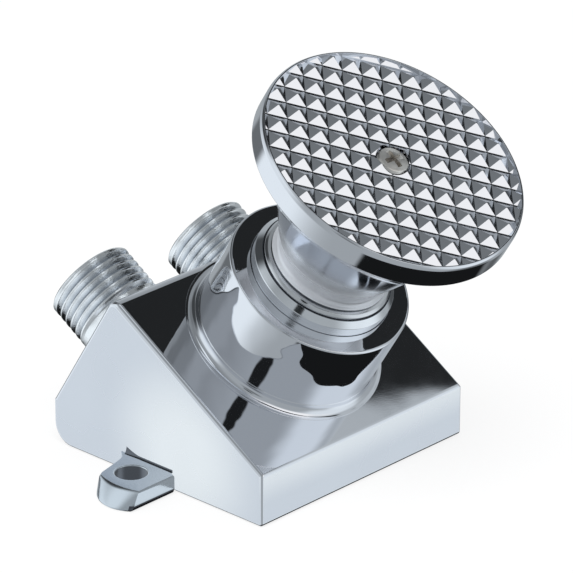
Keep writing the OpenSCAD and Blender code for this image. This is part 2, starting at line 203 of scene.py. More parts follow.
def rounded(points, steps=6):
    """Open line of (x, y, radius) corners with each corner turned into an arc."""
    out = []
    last = len(points) - 1
    for i, (x, y, r) in enumerate(points):
        if r <= 0 or i in (0, last):
            out.append((x, y))
            continue
        here = Vector((x, y))
        a = (Vector(points[i - 1][:2]) - here).normalized()
        b = (Vector(points[i + 1][:2]) - here).normalized()
        half = a.angle(b) / 2
        centre = here + (a + b).normalized() * (r / math.sin(half))
        reach = r / math.tan(half)
        p, q = here + a * reach - centre, here + b * reach - centre
        out += swing(centre, p, -p.angle_signed(q), steps)
    return out


def closed_rounded(points, steps=6):
    """Closed outline of (x, y, radius) corners with each corner turned into an arc."""
    return rounded([points[-1], *points, points[0]], steps)[1:-1]


def arc(a, m, b, count):
    """Points of the circle through three points, from the first to the last."""
    a, m, b = Vector(a), Vector(m), Vector(b)
    d = 2 * (a.x * (m.y - b.y) + m.x * (b.y - a.y) + b.x * (a.y - m.y))
    aa, mm, bb = a.dot(a), m.dot(m), b.dot(b)
    centre = Vector(((aa * (m.y - b.y) + mm * (b.y - a.y) + bb * (a.y - m.y)) / d,
                     (aa * (b.x - m.x) + mm * (a.x - b.x) + bb * (m.x - a.x)) / d))
    p, q = a - centre, b - centre
    return swing(centre, p, math.atan2(p.x * q.y - p.y * q.x, p.dot(q)), count)


def bend(a, b, c, d, count):
    """Points along a curve from a to d that leaves towards b and arrives from c."""
    out = []
    for k in range(count + 1):
        t = k / count
        w = ((1 - t) ** 3, 3 * t * (1 - t) ** 2, 3 * t * t * (1 - t), t ** 3)
        out.append(tuple(sum(f * p[i] for f, p in zip(w, (a, b, c, d))) for i in (0, 1)))
    return out


def circle(radius, height, count):
    """Points of a level circle about the Z axis."""
    return [(radius * math.cos(2 * math.pi * k / count), radius * math.sin(2 * math.pi * k / count), height)
            for k in range(count)]


def strip(low, high):
    """Faces between two rings of equally many points."""
    count = len(low)
    return [[low[k], low[(k + 1) % count], high[(k + 1) % count], high[k]] for k in range(count)]


def tube(rings, size):
    """Faces of a tube with closed ends, whose points come ring by ring."""
    rows = [range(i * size, (i + 1) * size) for i in range(rings)]
    faces = [face for low, high in zip(rows, rows[1:]) for face in strip(low, high)]
    return faces + [list(rows[0]), list(reversed(rows[-1]))]


def lathe(profile, count=192):
    """Turns a line of (radius, height) about the axis; a radius of zero becomes one point."""
    verts, rings, faces = [], [], []
    for r, h in profile:
        if r < 1e-6:
            rings.append([len(verts)] * count)
            verts.append((0, 0, h))
        else:
            rings.append(range(len(verts), len(verts) + count))
            verts += circle(r, h, count)
    for low, high in zip(rings, rings[1:]):
        for face in strip(low, high):
            corners = list(dict.fromkeys(face))
            if len(corners) > 2:
                faces.append(corners)
    return verts, faces


def cut(target, tool):
    """Takes the shape of a tool out of a mesh object, and removes the tool."""
    change = target.modifiers.new("Cut", "BOOLEAN")
    change.operation = "DIFFERENCE"
    change.solver = "EXACT"
    change.object = tool
    bpy.context.view_layer.update()
    target.data = bpy.data.meshes.new_from_object(target.evaluated_get(bpy.context.evaluated_depsgraph_get()))
    target.modifiers.clear()
    bpy.data.objects.remove(tool)


def drill(target, place, radius, low, high, sides=96):
    """Takes a round hole out of a mesh object, along the Z axis of the given place."""
    points = circle(radius, low, sides) + circle(radius, high, sides)
    faces = strip(range(sides), range(sides, 2 * sides))
    faces += [list(range(sides - 1, -1, -1)), list(range(sides, 2 * sides))]
    mesh = bpy.data.meshes.new("drill")
    mesh.from_pydata([(place @ Vector(p)) * MM for p in points], [], faces)
    cut(target, link("drill", mesh))


# Material helpers; places and distances in the node trees are in metres

WAVE_DEPTH = 0.0012
GRAIN_DEPTH = 0.00002
PIT_DEPTH = 0.0002
SKIN_DEPTH = 0.0001


def start_material(name, color=(1, 1, 1), metallic=1):
    """New material with its node tree and its main shader."""
    mat = bpy.data.materials.new(name)
    mat.use_nodes = True
    tree = mat.node_tree
    shader = tree.nodes["Principled BSDF"]
    shader.inputs["Base Color"].default_value = (*color, 1)
    shader.inputs["Metallic"].default_value = metallic
    return mat, tree, shader


def object_coords(tree):
    """Place on the object."""
    return tree.nodes.new("ShaderNodeTexCoord").outputs["Object"]


def axis_coords(tree):
    """Place on the object, turned into the frame of the pedal axis."""
    node = tree.nodes.new("ShaderNodeMapping")
    node.vector_type = "TEXTURE"
    node.inputs["Location"].default_value = (0, AXIS_Y * MM, AXIS_Z * MM)
    node.inputs["Rotation"].default_value = (SLOPE, 0, 0)
    tree.links.new(object_coords(tree), node.inputs["Vector"])
    return node.outputs["Vector"]


def split(tree, source):
    """The three coordinates of a place, by their letters."""
    node = tree.nodes.new("ShaderNodeSeparateXYZ")
    tree.links.new(source, node.inputs["Vector"])
    return node.outputs


def join(tree, **coordinates):
    """Place with the given coordinates, and zero for the others."""
    node = tree.nodes.new("ShaderNodeCombineXYZ")
    for letter, source in coordinates.items():
        tree.links.new(source, node.inputs[letter])
    return node.outputs["Vector"]


def math_node(tree, operation, a, b=0.0):
    """What an operation makes of two values, each of them a number or the output of a node."""
    node = tree.nodes.new("ShaderNodeMath")
    node.operation = operation
    for socket, value in zip(node.inputs, (a, b)):
        if isinstance(value, (int, float)):
            socket.default_value = value
        else:
            tree.links.new(value, socket)
    return node.outputs["Value"]


def vector_node(tree, operation, source, other=(0, 0, 0)):
    """What an operation such as a length or a distance makes of a place and another, fixed one."""
    node = tree.nodes.new("ShaderNodeVectorMath")
    node.operation = operation
    tree.links.new(source, node.inputs[0])
    node.inputs[1].default_value = other
    return node.outputs["Vector" if operation == "NORMALIZE" else "Value"]


def noise(tree, scale, detail, rough, source, line=False):
    """Noise over a place, or along a line where the source is a single value."""
    tex = tree.nodes.new("ShaderNodeTexNoise")
    if line:
        tex.noise_dimensions = "1D"
    tex.inputs["Scale"].default_value = scale
    tex.inputs["Detail"].default_value = detail
    tex.inputs["Roughness"].default_value = rough
    tree.links.new(source, tex.inputs["W" if line else "Vector"])
    return tex.outputs["Fac"]


def remap(tree, value, given, wanted, smooth=False):
    """Carries a value from one range to another, and holds it at both ends."""
    node = tree.nodes.new("ShaderNodeMapRange")
    for name, number in zip(("From Min", "From Max", "To Min", "To Max"), (*given, *wanted)):
        node.inputs[name].default_value = number
    if smooth:
        node.interpolation_type = "SMOOTHSTEP"
    tree.links.new(value, node.inputs["Value"])
    return node.outputs["Result"]


def blend(tree, factor, a, b):
    """Colour between two colours."""
    node = tree.nodes.new("ShaderNodeMix")
    node.data_type = "RGBA"
    node.inputs["A"].default_value = (*a, 1)
    node.inputs["B"].default_value = (*b, 1)
    tree.links.new(factor, node.inputs["Factor"])
    return node.outputs["Result"]


def bump(tree, height, strength, distance, before=None):
    """Normal of a surface with fine relief, on top of another one where that is given."""
    node = tree.nodes.new("ShaderNodeBump")
    node.inputs["Strength"].default_value = strength
    node.inputs["Distance"].default_value = distance
    tree.links.new(height, node.inputs["Height"])
    if before is not None:
        tree.links.new(before, node.inputs["Normal"])
    return node.outputs["Normal"]


def chrome(name, color, rough, wave, grain, pits=0.0, wave_scale=45, pit_scale=700):
    """Bright plate with uneven polish, slow waviness and fine grain."""
    mat, tree, shader = start_material(name, color)
    place = object_coords(tree)
    polish = noise(tree, 90, 4, 0.6, place)
    tree.links.new(remap(tree, polish, (0.35, 0.65), rough), shader.inputs["Roughness"])
    normal = bump(tree, noise(tree, wave_scale, 1, 0.4, place), wave, WAVE_DEPTH)
    normal = bump(tree, noise(tree, 2600, 3, 0.6, place), grain, GRAIN_DEPTH, normal)
    if pits > 0:
        normal = bump(tree, noise(tree, pit_scale, 4, 0.65, place), pits, PIT_DEPTH, normal)
    tree.links.new(normal, shader.inputs["Normal"])
    return mat


def threaded(name, groove_shade, crest):
    """Plate on the port threads, with painted shade in the grooves and bright on the crests."""
    mat = chrome(name, crest, (0.08, 0.17), 0.05, 0.06, 0.32, pit_scale=1100)
    tree = mat.node_tree
    place = split(tree, axis_coords(tree))
    mirrored = join(tree, X=math_node(tree, "ABSOLUTE", place["X"]), Z=place["Z"])
    away = vector_node(tree, "DISTANCE", mirrored, (PORT_X * MM, 0, -PORT_DROP * MM))
    height = remap(tree, away, (CORE_R * MM, (THREAD_R - 0.15) * MM), (0, 1))
    tree.links.new(blend(tree, height, groove_shade, crest), tree.nodes["Principled BSDF"].inputs["Base Color"])
    return mat


def necked(name, color):
    """Plate on the pedal's neck in a paler tint than the tread, satin and less metallic towards its foot: a painted
    sheen that lightens the neck.
    """
    mat = chrome(name, color, (0.03, 0.07), 0.03, 0.04)
    tree = mat.node_tree
    shader = tree.nodes["Principled BSDF"]
    height = split(tree, axis_coords(tree))["Z"]
    polish = shader.inputs["Roughness"].links[0].from_socket
    soft = remap(tree, height, (0.029, 0.044), (0.28, 0.03), smooth=True)
    tree.links.new(math_node(tree, "MAXIMUM", polish, soft), shader.inputs["Roughness"])
    metal = remap(tree, height, (0.030, 0.042), (0.4, 1), smooth=True)
    tree.links.new(metal, shader.inputs["Metallic"])
    return mat


def turned(name, color, rough, rings, depth):
    """Metal with fine rings left by the lathe about the pedal axis."""
    mat, tree, shader = start_material(name, color)
    place = split(tree, axis_coords(tree))
    radius = vector_node(tree, "LENGTH", join(tree, X=place["X"], Y=place["Y"]))
    line = noise(tree, rings, 5, 0.7, math_node(tree, "ADD", radius, place["Z"]), line=True)
    tree.links.new(remap(tree, line, (0.3, 0.7), rough), shader.inputs["Roughness"])
    tree.links.new(bump(tree, line, depth, SKIN_DEPTH), shader.inputs["Normal"])
    return mat


def plain(name, color, metallic, rough, scale, depth):
    """Simple finish with uneven roughness and a fine skin."""
    mat, tree, shader = start_material(name, color, metallic)
    skin = noise(tree, scale, 4, 0.6, object_coords(tree))
    tree.links.new(remap(tree, skin, (0.3, 0.7), rough), shader.inputs["Roughness"])
    tree.links.new(bump(tree, skin, depth, SKIN_DEPTH), shader.inputs["Normal"])
    return mat


def satin(name, deep, sheen_white):
    """Finely brushed plate with a painted white sheen around the ears and along the front top edge."""
    mat, tree, shader = start_material(name)
    coords = object_coords(tree)
    place = split(tree, coords)
    away = vector_node(tree, "DISTANCE", join(tree, Y=place["Y"], Z=place["Z"]), (0, -0.010, 0.010))
    sheen_near_ear = remap(tree, away, (0.005, 0.026), (1, 0), smooth=True)
    high = remap(tree, place["Z"], (0.004, 0.012), (0, 0.75), smooth=True)
    front = remap(tree, place["Y"], (-0.0325, -0.0333), (0, 1))
    share = math_node(tree, "MAXIMUM", sheen_near_ear, math_node(tree, "MULTIPLY", high, front))
    tree.links.new(blend(tree, share, deep, sheen_white), shader.inputs["Base Color"])
    polish = noise(tree, 60, 2, 0.5, coords)
    tree.links.new(remap(tree, polish, (0.1, 0.9), (0.24, 0.30)), shader.inputs["Roughness"])
    tree.links.new(bump(tree, noise(tree, 220, 2, 0.5, coords), 0.03, PIT_DEPTH), shader.inputs["Normal"])
    return mat


PLATE = (0.845, 0.858, 0.895)
CASTING = chrome("chrome casting", PLATE, (0.015, 0.035), 0.05, 0.02)
EAR = chrome("satin ear", (0.70, 0.75, 0.80), (0.14, 0.20), 0.03, 0.05)
# Darker copy of the ear plate for the ear's top face: painted shade
EAR_TOP = chrome("satin ear top, painted shade", (0.55, 0.60, 0.66), (0.16, 0.24), 0.03, 0.05)
# Side and front flats: satin plate, painted paler near the ears and the front top edge as sheen
SATIN = satin("satin chrome, painted sheen", (0.755, 0.775, 0.822), (1.0, 1.0, 1.0))
BARE = plain("bare brass", (0.70, 0.56, 0.32), 1, (0.30, 0.48), 700, 0.5)
THREAD = threaded("chrome thread, painted groove shade", (0.70, 0.73, 0.77), (0.98, 0.99, 1.0))
BOSS = chrome("chrome boss", PLATE, (0.02, 0.045), 0.34, 0.02, wave_scale=110)
KNURL = chrome("chrome knurl", PLATE, (0.05, 0.12), 0.03, 0.3)
# Dark plate painted where shade falls: in the ear holes, under the ears' fronts, on the ear fillets, along the
# downward bevels and at the gaps by the bonnet and the pedal's lip
SHADE_PAINT = chrome("painted shade", (0.16, 0.17, 0.19), (0.18, 0.30), 0.05, 0.1)
TREAD = chrome("chrome tread", PLATE, (0.03, 0.07), 0.03, 0.04)
NECK = necked("chrome neck, painted sheen", (0.90, 0.925, 0.97))
BONNET = turned("turned chrome", (0.91, 0.93, 0.96), (0.05, 0.12), 2600, 0.22)
STEEL = turned("turned steel", (0.78, 0.79, 0.81), (0.07, 0.15), 3200, 0.25)
NICKEL = plain("nickel screw", (0.82, 0.785, 0.74), 1, (0.30, 0.42), 900, 0.2)
# Darker copy of the screw's nickel: painted shade inside the cross recess
RECESS = plain("nickel cross recess, painted shade", (0.26, 0.235, 0.21), 1, (0.22, 0.36), 900, 0.2)
SPRING = plain("spring steel", (0.50, 0.51, 0.53), 1, (0.25, 0.40), 1500, 0.2)
BRASS = plain("machined brass", (0.78, 0.60, 0.28), 1, (0.18, 0.32), 1200, 0.2)
RUBBER = plain("black rubber", (0.03, 0.03, 0.03), 0, (0.55, 0.75), 1500, 0.3)
FIBRE = plain("red fibre", (0.35, 0.08, 0.06), 0, (0.65, 0.85), 2200, 0.5)
PLASTIC = plain("slide plastic", (0.86, 0.84, 0.78), 0, (0.35, 0.5), 800, 0.15)


# Wedge body

# Stepped bore down the pedal axis: radius, low end and high end of each step
BORE_STEPS = [(BOSS_BORE, 2.0, 30), (12.5, -3.0, 2.5), (10.5, -7.5, -2.5), (8.0, -23.65, -7.0)]


def wedge():
    """The wedge without holes: its outline carried across the body, with rounded side edges."""
    rear_y = FRONT_Y + BODY_D
    corners = [(FRONT_Y, 0, 0.8), (FRONT_Y, FRONT_H, 1.0), (FRONT_Y + RIDGE_RUN, RIDGE_Z, 2.5),
               (rear_y, REAR_H, 0.9), (rear_y, 0, 5.0)]
    edges = [0.45, 1.15, 0.8, 0.5, 0.4]
    steps, quarter = 8, 7
    line = closed_rounded(corners, steps)
    count = len(line)
    rims = []
    for i, (_, _, corner) in enumerate(corners):
        for k in range(steps + 1):
            share = k / steps
            rims.append(min(corner * 0.92, edges[i - 1] * (1 - share) + edges[i] * share))
    normals = []
    for i in range(count):
        along = (Vector(line[(i + 1) % count]) - Vector(line[i - 1])).normalized()
        normals.append(Vector((along.y, -along.x)))
    middle = Vector((sum(p[0] for p in line) / count, sum(p[1] for p in line) / count))
    if sum((Vector(p) - middle).dot(n) for p, n in zip(line, normals)) < 0:
        normals = [-n for n in normals]
    verts = []
    for side in SIDES:
        for j in range(quarter + 1)[::side]:
            t = math.pi / 2 * j / quarter
            for p, n, r in zip(line, normals, rims):
                inset = r * (1 - math.cos(t))
                verts.append((side * (BODY_W / 2 - r * (1 - math.sin(t))), p[0] - n.x * inset, p[1] - n.y * inset))
    return verts, tube(len(verts) // count, count)


def casting():
    """The wedge with its waterways; the flats are satin, the drillings bare metal and the downward bevels painted
    shade.
    """
    verts, faces = wedge()
    mesh = bpy.data.meshes.new("casting_blank")
    mesh.from_pydata([Vector(v) * MM for v in verts], [], faces)
    turn_outward(mesh)
    blank = link("casting_blank", mesh)
    across = Matrix.Rotation(math.radians(90), 4, "Y")
    for step in BORE_STEPS:
        drill(blank, ON_AXIS, *step)
    for side in SIDES:
        drill(blank, at_port(side), PORT_BORE, -REAR_PLANE - 4, 1)
    # Cross way from the inlet, riser to the outlet, and window from the chamber to the riser
    drill(blank, ON_AXIS @ Matrix.Translation((-PORT_X, 1.5, -PORT_DROP)) @ across, 5.0, 0, PORT_X)
    drill(blank, ON_AXIS @ Matrix.Translation((RISER_X, 0, 0)), 4.2, -PORT_DROP, 0.4)
    drill(blank, ON_AXIS @ Matrix.Translation((0, 0, -0.6)) @ across, 2.0, 0, RISER_X)
    mesh = blank.data
    bpy.data.objects.remove(blank)
    finish_piece("wedge_body", mesh, "housing", "chrome_casting", ["valve_body"], CASTING)
    coats = (CASTING, SATIN, BARE, SHADE_PAINT)
    mesh.materials.clear()
    for coat in coats:
        mesh.materials.append(coat)
    into = ON_AXIS.inverted()
    for poly in mesh.polygons:
        n, c = poly.normal, poly.center / MM
        where = into @ c
        sunk = min(c.z, BODY_W / 2 - abs(c.x), REAR_PLANE - where.y, -where.z, c.y - FRONT_Y, FRONT_Y + BODY_D - c.y)
        coat = CASTING
        if sunk > 1.2:
            coat = BARE
        elif abs(n.x) > 0.999 or abs(n.y) > 0.999:
            coat = SATIN
        # Downward bevels along the foot are painted dark, as the contact shadow along the bottom edges
        elif -0.97 < n.z < -0.2 and n.y < 0.15:
            coat = SHADE_PAINT
        poly.material_index = coats.index(coat)


casting()


# Boss with its foot fillet

BOSS_FOOT = (BOSS_R + 2.9, -0.45, 0)
boss_line = rounded([BOSS_FOOT, (BOSS_R + 2.25, -0.06, 0), (BOSS_R + 2.2, 0.09, 0.03),
                     (BOSS_R + 1.95, 0.1, 0.1), (BOSS_R, 0.1, 1.9), (BOSS_R, 2.25, 0.04), (BOSS_R - 0.12, 2.4, 0.04),
                     (BOSS_R, 2.55, 0.04), (BOSS_R, BOSS_H, 0.55), (BOSS_R - 0.6, BOSS_H, 0),
                     (BOSS_BORE, BOSS_H, 0.12), (BOSS_BORE, BOSS_FOOT[1], 0), BOSS_FOOT], 10)
boss = piece("boss", *lathe(boss_line), ON_AXIS, "housing", "chrome_casting", ["valve_body"], BOSS)
patch(boss, CASTING, ON_AXIS, lambda c, n: math.hypot(c.x, c.y) < BOSS_R - 0.59)


# Ports with a turned thread

def thread(low, high):
    """Thread cut along a right-hand helix between two heights, run out at both ends."""
    section = [(0.0, 0.0), (0.20, 0.0), (0.235, 0.05), (0.575, 0.97), (0.60, 1.0), (0.625, 0.97), (0.965, 0.05)]
    rows = [(q + t, depth) for q in range(int((high - low) / PITCH) + 3) for t, depth in section]
    run_in, run_out = 0.9, 0.45
    size = PORT_SIDES + 1
    verts, faces = [], []
    for row, depth in rows:
        for k in range(size):
            a = 2 * math.pi * k / PORT_SIDES
            w = min(high, max(low, low + PITCH * (row - 1 + k / PORT_SIDES)))
            full = max(0, min(1, (w - low) / run_in, (high - w) / run_out))
            r = THREAD_R - (THREAD_R - CORE_R) * depth * full
            verts.append((r * math.cos(a), r * math.sin(a), w))
    for i in range(len(rows) - 1):
        for k in range(PORT_SIDES):
            here, above = i * size + k, (i + 1) * size + k
            face = [here, here + 1, above + 1, above]
            if len({round(verts[j][2], 6) for j in face}) > 1:
                faces.append(face)
    return verts, faces


FLARE_OUT, FLARE_H = 1.1, 3.0
FLARE = [(THREAD_R + FLARE_OUT * (1 - w / FLARE_H) ** 2.2, w)
         for w in (-0.3, 0.0, 0.25, 0.5, 0.8, 1.1, 1.5, 1.9, 2.4, FLARE_H)]
foot_line = FLARE + [(THREAD_R, THREAD_LOW)]
end_line = rounded([(THREAD_R, THREAD_HIGH, 0), (THREAD_R, 14.4, 0.1), (THREAD_R - 0.4, PORT_LEN, 0.1),
                    (PORT_BORE, PORT_LEN, 0.35), (PORT_BORE, FLARE[0][1], 0), (*FLARE[0], 0)], 5)


def port(side, name):
    """Flared foot, thread, end and bore of a port as one closed mesh."""
    verts, faces = [], []
    for more_verts, more_faces in (lathe(foot_line, PORT_SIDES), thread(THREAD_LOW, THREAD_HIGH),
                                   lathe(end_line, PORT_SIDES)):
        base = len(verts)
        verts += more_verts
        faces += [[base + i for i in face] for face in more_faces]
    piece(name, verts, faces, at_port(side), "housing", "chrome_casting", ["valve_body"], THREAD)


port(-1, "inlet_port")
port(1, "outlet_port")


# Ears

def ear(side):
    """Ear with a rounded end, a bevel under its front and a screw hole."""
    front = [(31.0, -6.3), (32.6, -6.4), (33.4, -8.05)]
    back = [(43.0, 5.0), (39.8, 5.75), (36.6, 6.5), (35.2, 6.9), (34.2, 7.4), (33.4, 8.2), (32.6, 9.3), (31.0, 9.4)]
    foot = front + arc((46.3, -8.05), (48.42, -2.9), (45.2, 4.3), 24) + back
    top = front + arc((44.4, -8.05), (45.5, -2.4), (44.2, 4.3), 24) + back
    centre = Vector((EAR_X, -0.6))
    levels = [(0.0, 0.25), (0.06, 0.05), (0.14, 0.0), (0.28, 0.0), (0.45, 0.0), (0.66, 0.0), (0.86, 0.0), (0.93, 0.05),
              (0.975, 0.17), (1.0, 0.36)]
    hole = [(0.0, EAR_HOLE_R + 0.25), (0.25, EAR_HOLE_R), (4.0, EAR_HOLE_R), (4.2, EAR_HOLE_R + 0.08),
            (EAR_H, EAR_HOLE_R + 0.3)]
    bulge, bevel, bevel_top, sides = 0.15, 0.35, 0.28, 64
    work = bmesh.new()
    rows = []
    for share, inset in levels:
        row = []
        for p, q in zip(foot, top):
            at_end = min(1, max(0, (p[0] - 45) / 1.5))
            x = p[0] + (q[0] - p[0]) * share + bulge * math.sin(math.pi * share) * at_end
            y = p[1] + (q[1] - p[1]) * share
            if p[1] < -8:
                y += bevel * max(0, 1 - share / bevel_top)
            arm = Vector((x, y)) - centre
            arm = arm * (1 - inset / max(arm.length, 1))
            row.append(work.verts.new((side * (centre.x + arm.x), centre.y + arm.y, EAR_H * share)))
        rows.append(row)
    holes = [[work.verts.new((side * (EAR_X + x), y, z)) for x, y, z in circle(radius, height, sides)]
             for height, radius in hole]
    for low, high in [*zip(rows, rows[1:]), *zip(holes[1:], holes)]:
        for face in strip(low, high):
            work.faces.new(face)
    for rings in ((rows[0], holes[0]), (rows[-1], holes[-1])):
        edges = [work.edges.get((v, ring[(k + 1) % len(ring)])) for ring in rings for k, v in enumerate(ring)]
        bmesh.ops.triangle_fill(work, use_beauty=True, use_dissolve=False, edges=edges)
    bmesh.ops.recalc_face_normals(work, faces=work.faces)
    for v in work.verts:
        v.co *= MM
    name = "ear_" + SIDES[side]
    mesh = bpy.data.meshes.new(name)
    work.to_mesh(mesh)
    work.free()
    obj = finish_piece(name, mesh, "housing", "chrome_casting", ["valve_body"], EAR)
    # The ear's top face gets the darker copy of its plate as painted shade
    patch(obj, EAR_TOP, ON_FLOOR, lambda c, n: n.z > 0.98)
    # The hole's wall and a low strip under the ear's front are painted dark, as shadow in the hole and under the front
    patch(obj, SHADE_PAINT, ON_FLOOR,
          lambda c, n: math.hypot(abs(c.x) - EAR_X, c.y) < EAR_HOLE_R + 0.15 and 0.2 < c.z < EAR_H - 0.25
          or n.y < -0.5 and c.z < 1.15 and abs(c.x) > 33.3)
    obj.visible_glossy = False


def ear_fillet(side):
    """Hollow fillet between the top of an ear and the body's side, rising towards its rear end."""
    verts = []
    steps, length = 8, 24
    start, run, steep = -6.6, 14.2, 0.72
    wall = BODY_W / 2 - 0.05
    for i in range(length + 1):
        share = i / length
        y = start + run * share
        rise = 0.8 + 1.6 * max(0, (share - steep) / (1 - steep)) ** 1.5
        for k in range(steps + 1):
            t = math.pi / 2 * k / steps
            verts.append((side * (wall + 1 - math.sin(t)), y, EAR_H - 0.08 + rise * (1 - math.cos(t))))
        verts.append((side * (wall - 0.25), y, EAR_H - 0.2))
    # The whole fillet is painted dark, as shade in the corner between the ear and the body's side
    obj = piece("ear_fillet_" + SIDES[side], verts, tube(length + 1, steps + 2), ON_FLOOR, "housing", "chrome_casting",
                ["valve_body"], SHADE_PAINT)
    obj.visible_glossy = False


for side in SIDES:
    ear(side)
    ear_fillet(side)


# Bonnet and plunger

bonnet_line = rounded([(BONNET_BORE, BONNET_LOW, 0), (BONNET_R, BONNET_LOW, 0.1), (BONNET_R, 22.9, 0.35),
                       (BONNET_BEVEL_R, BONNET_TOP, 0.12), (BONNET_BORE, BONNET_TOP, 0.08),
                       (BONNET_BORE, BONNET_LOW, 0)], 5)
bonnet = piece("bonnet_ring", *lathe(bonnet_line), ON_AXIS, "housing", "turned_chrome", ["bonnet"], BONNET)
# The bonnet's inner top edge is painted dark, as shade in the gap around the plunger
patch(bonnet, SHADE_PAINT, ON_AXIS, lambda c, n: c.z > BONNET_TOP - 0.1 and math.hypot(c.x, c.y) < BONNET_BEVEL_R + 0.02)
plunger_line = rounded([(PLUNGER_BORE, PLUNGER_LOW, 0), (PLUNGER_R, PLUNGER_LOW, 0.1), (PLUNGER_R, 24.75, 0.3),
                        (14.45, 25.32, 0.3), (LIP_R, PLUNGER_HEAD, 0.2), (STEM_HOLE_R, PLUNGER_HEAD, 0.1),
                        (STEM_HOLE_R, PLUNGER_ROOF, 0), (PLUNGER_BORE, PLUNGER_ROOF, 0),
                        (PLUNGER_BORE, PLUNGER_LOW, 0)], 4)
piece("plunger_head", *lathe(plunger_line), ON_AXIS, "pedal_group", "turned_steel", ["plunger"], STEEL)


# Pedal

lip_line = rounded([(0, PLUNGER_HEAD, 0), (LIP_R, PLUNGER_HEAD, 0.15), (LIP_R, 26.1, 0.2), (*LIP_TOP, 0)], 4)
neck_line = bend(LIP_TOP, (12.2, 26.8), (12.65, 28.6), NECK_FOOT, 20)
head_line = rounded([(*NECK_FOOT, 0), (25.45, PEDAL_LOW, 0.7), (PEDAL_R, PEDAL_LOW, 0.55), (PEDAL_R, 59.6, 1.5),
                     (PEDAL_R - 0.2, 60.3, 0.5), (PEDAL_R - 0.5, TREAD_H, 0.15), (KNURL_R, TREAD_H, 0.05),
                     (KNURL_R, KNURL_FLOOR - 0.06, 0), (RECESS_R, KNURL_FLOOR - 0.06, 0), (RECESS_R, RECESS_H, 0.2),
                     (0, RECESS_H, 0)], 6)
pedal_line = lip_line + neck_line[1:-1] + head_line
stalk = piece("pedal_stalk", *lathe(pedal_line), ON_AXIS, "pedal_group", "chrome_tread", ["pedal"], TREAD)
# The neck gets the paler plate, a painted sheen
patch(stalk, NECK, ON_AXIS, lambda c, n: 25.9 < c.z < 54.0 and math.hypot(c.x, c.y) > 12)
# The lip's lower part is painted dark, as shade under the lip
patch(stalk, SHADE_PAINT, ON_AXIS, lambda c, n: c.z < 25.85 and math.hypot(c.x, c.y) > 13.2)


def keep_inside(poly, n, d):
    """Part of a convex outline where n . p is at most d."""
    tiny = 1e-9
    out = []
    for i, p in enumerate(poly):
        q = poly[(i + 1) % len(poly)]
        a, b = n.dot(p) - d, n.dot(q) - d
        if a <= tiny:
            out.append(p)
        if (a < -tiny and b > tiny) or (a > tiny and b < -tiny):
            out.append(p + (q - p) * (a / (a - b)))
    return out if len(out) > 2 else []


def round_sides(radius, count):
    """Sides of a many-sided outline with its corners on a circle: their directions and distances."""
    return [(Vector((math.cos(2 * math.pi * (k + 0.5) / count), math.sin(2 * math.pi * (k + 0.5) / count))),
             radius * math.cos(math.pi / count)) for k in range(count)]


def knurl():
    """Rows of square pyramids, cut off at the tread's rim and around the screw."""
    half, tip, valley_x, valley_y = KNURL_PITCH / 2, 0.1, 0.05, 0.2
    foot_x, foot_y = half - valley_x, half - valley_y
    rise = TREAD_H - KNURL_FLOOR
    rim_sides, hole_sides = round_sides(KNURL_R, 180), round_sides(RECESS_R, 64)
    turn = Matrix.Rotation(KNURL_TURN, 2)
    verts, faces = [], []

    def add(poly, height):
        """Adds the part of a face that lies on the tread, and a wall down into the recess at the hole's edge."""
        parts = [poly]
        if max(p.length for p in poly) > KNURL_R - 0.2:
            for n, d in rim_sides:
                parts = [k for k in (keep_inside(s, n, d) for s in parts) if k]
        if min(p.length for p in poly) < RECESS_R + KNURL_PITCH:
            outside = []
            for rest in parts:
                for n, d in hole_sides:
                    if not rest:
                        break
                    beyond = keep_inside(rest, -n, -d)
                    if beyond:
                        outside.append(beyond)
                    rest = keep_inside(rest, n, d)
            parts = outside
        for s in parts:
            base = len(verts)
            verts.extend((p.x, p.y, height(p)) for p in s)
            faces.append(list(range(base, base + len(s))))
            for i, p in enumerate(s):
                q = s[(i + 1) % len(s)]
                if max(abs(p.length - RECESS_R), abs(q.length - RECESS_R)) < 0.02 and (p - q).length > 1e-6:
                    base = len(verts)
                    verts.extend([(p.x, p.y, height(p)), (p.x, p.y, RECESS_H), (q.x, q.y, RECESS_H),
                                  (q.x, q.y, height(q))])
                    faces.append([base, base + 1, base + 2, base + 3])

    cells = int(KNURL_R / KNURL_PITCH) + 2
    for i in range(-cells, cells + 1):
        for j in range(-cells, cells + 1):
            centre = Vector((i + KNURL_PLACE[0], j + KNURL_PLACE[1])) * KNURL_PITCH
            if centre.length > KNURL_R + KNURL_PITCH:
                continue

            def height(p, centre=centre):
                """Height of the pyramid at a point of the tread."""
                q = (turn.transposed() @ p) - centre
                up = min((foot_x - abs(q.x)) / (foot_x - tip), (foot_y - abs(q.y)) / (foot_y - tip))
                return KNURL_FLOOR + rise * min(1, max(0, up))

            def oblong(wide, deep, centre=centre):
                """Corners of an oblong about the pyramid's middle."""
                return [turn @ (centre + Vector((sx * wide, sy * deep))) for sx, sy in SQUARE]

            outer, mid, inner = oblong(half, half), oblong(foot_x, foot_y), oblong(tip, tip)
            add(inner, height)
            for k in range(4):
                m = (k + 1) % 4
                add([mid[k], mid[m], inner[m], inner[k]], height)
                add([outer[k], outer[m], mid[m], mid[k]], height)
    return verts, faces


piece("pedal_knurl", *knurl(), ON_AXIS, "pedal_group", "chrome_tread", ["pedal"], KNURL, smooth=0)


# Screw with a cross recess

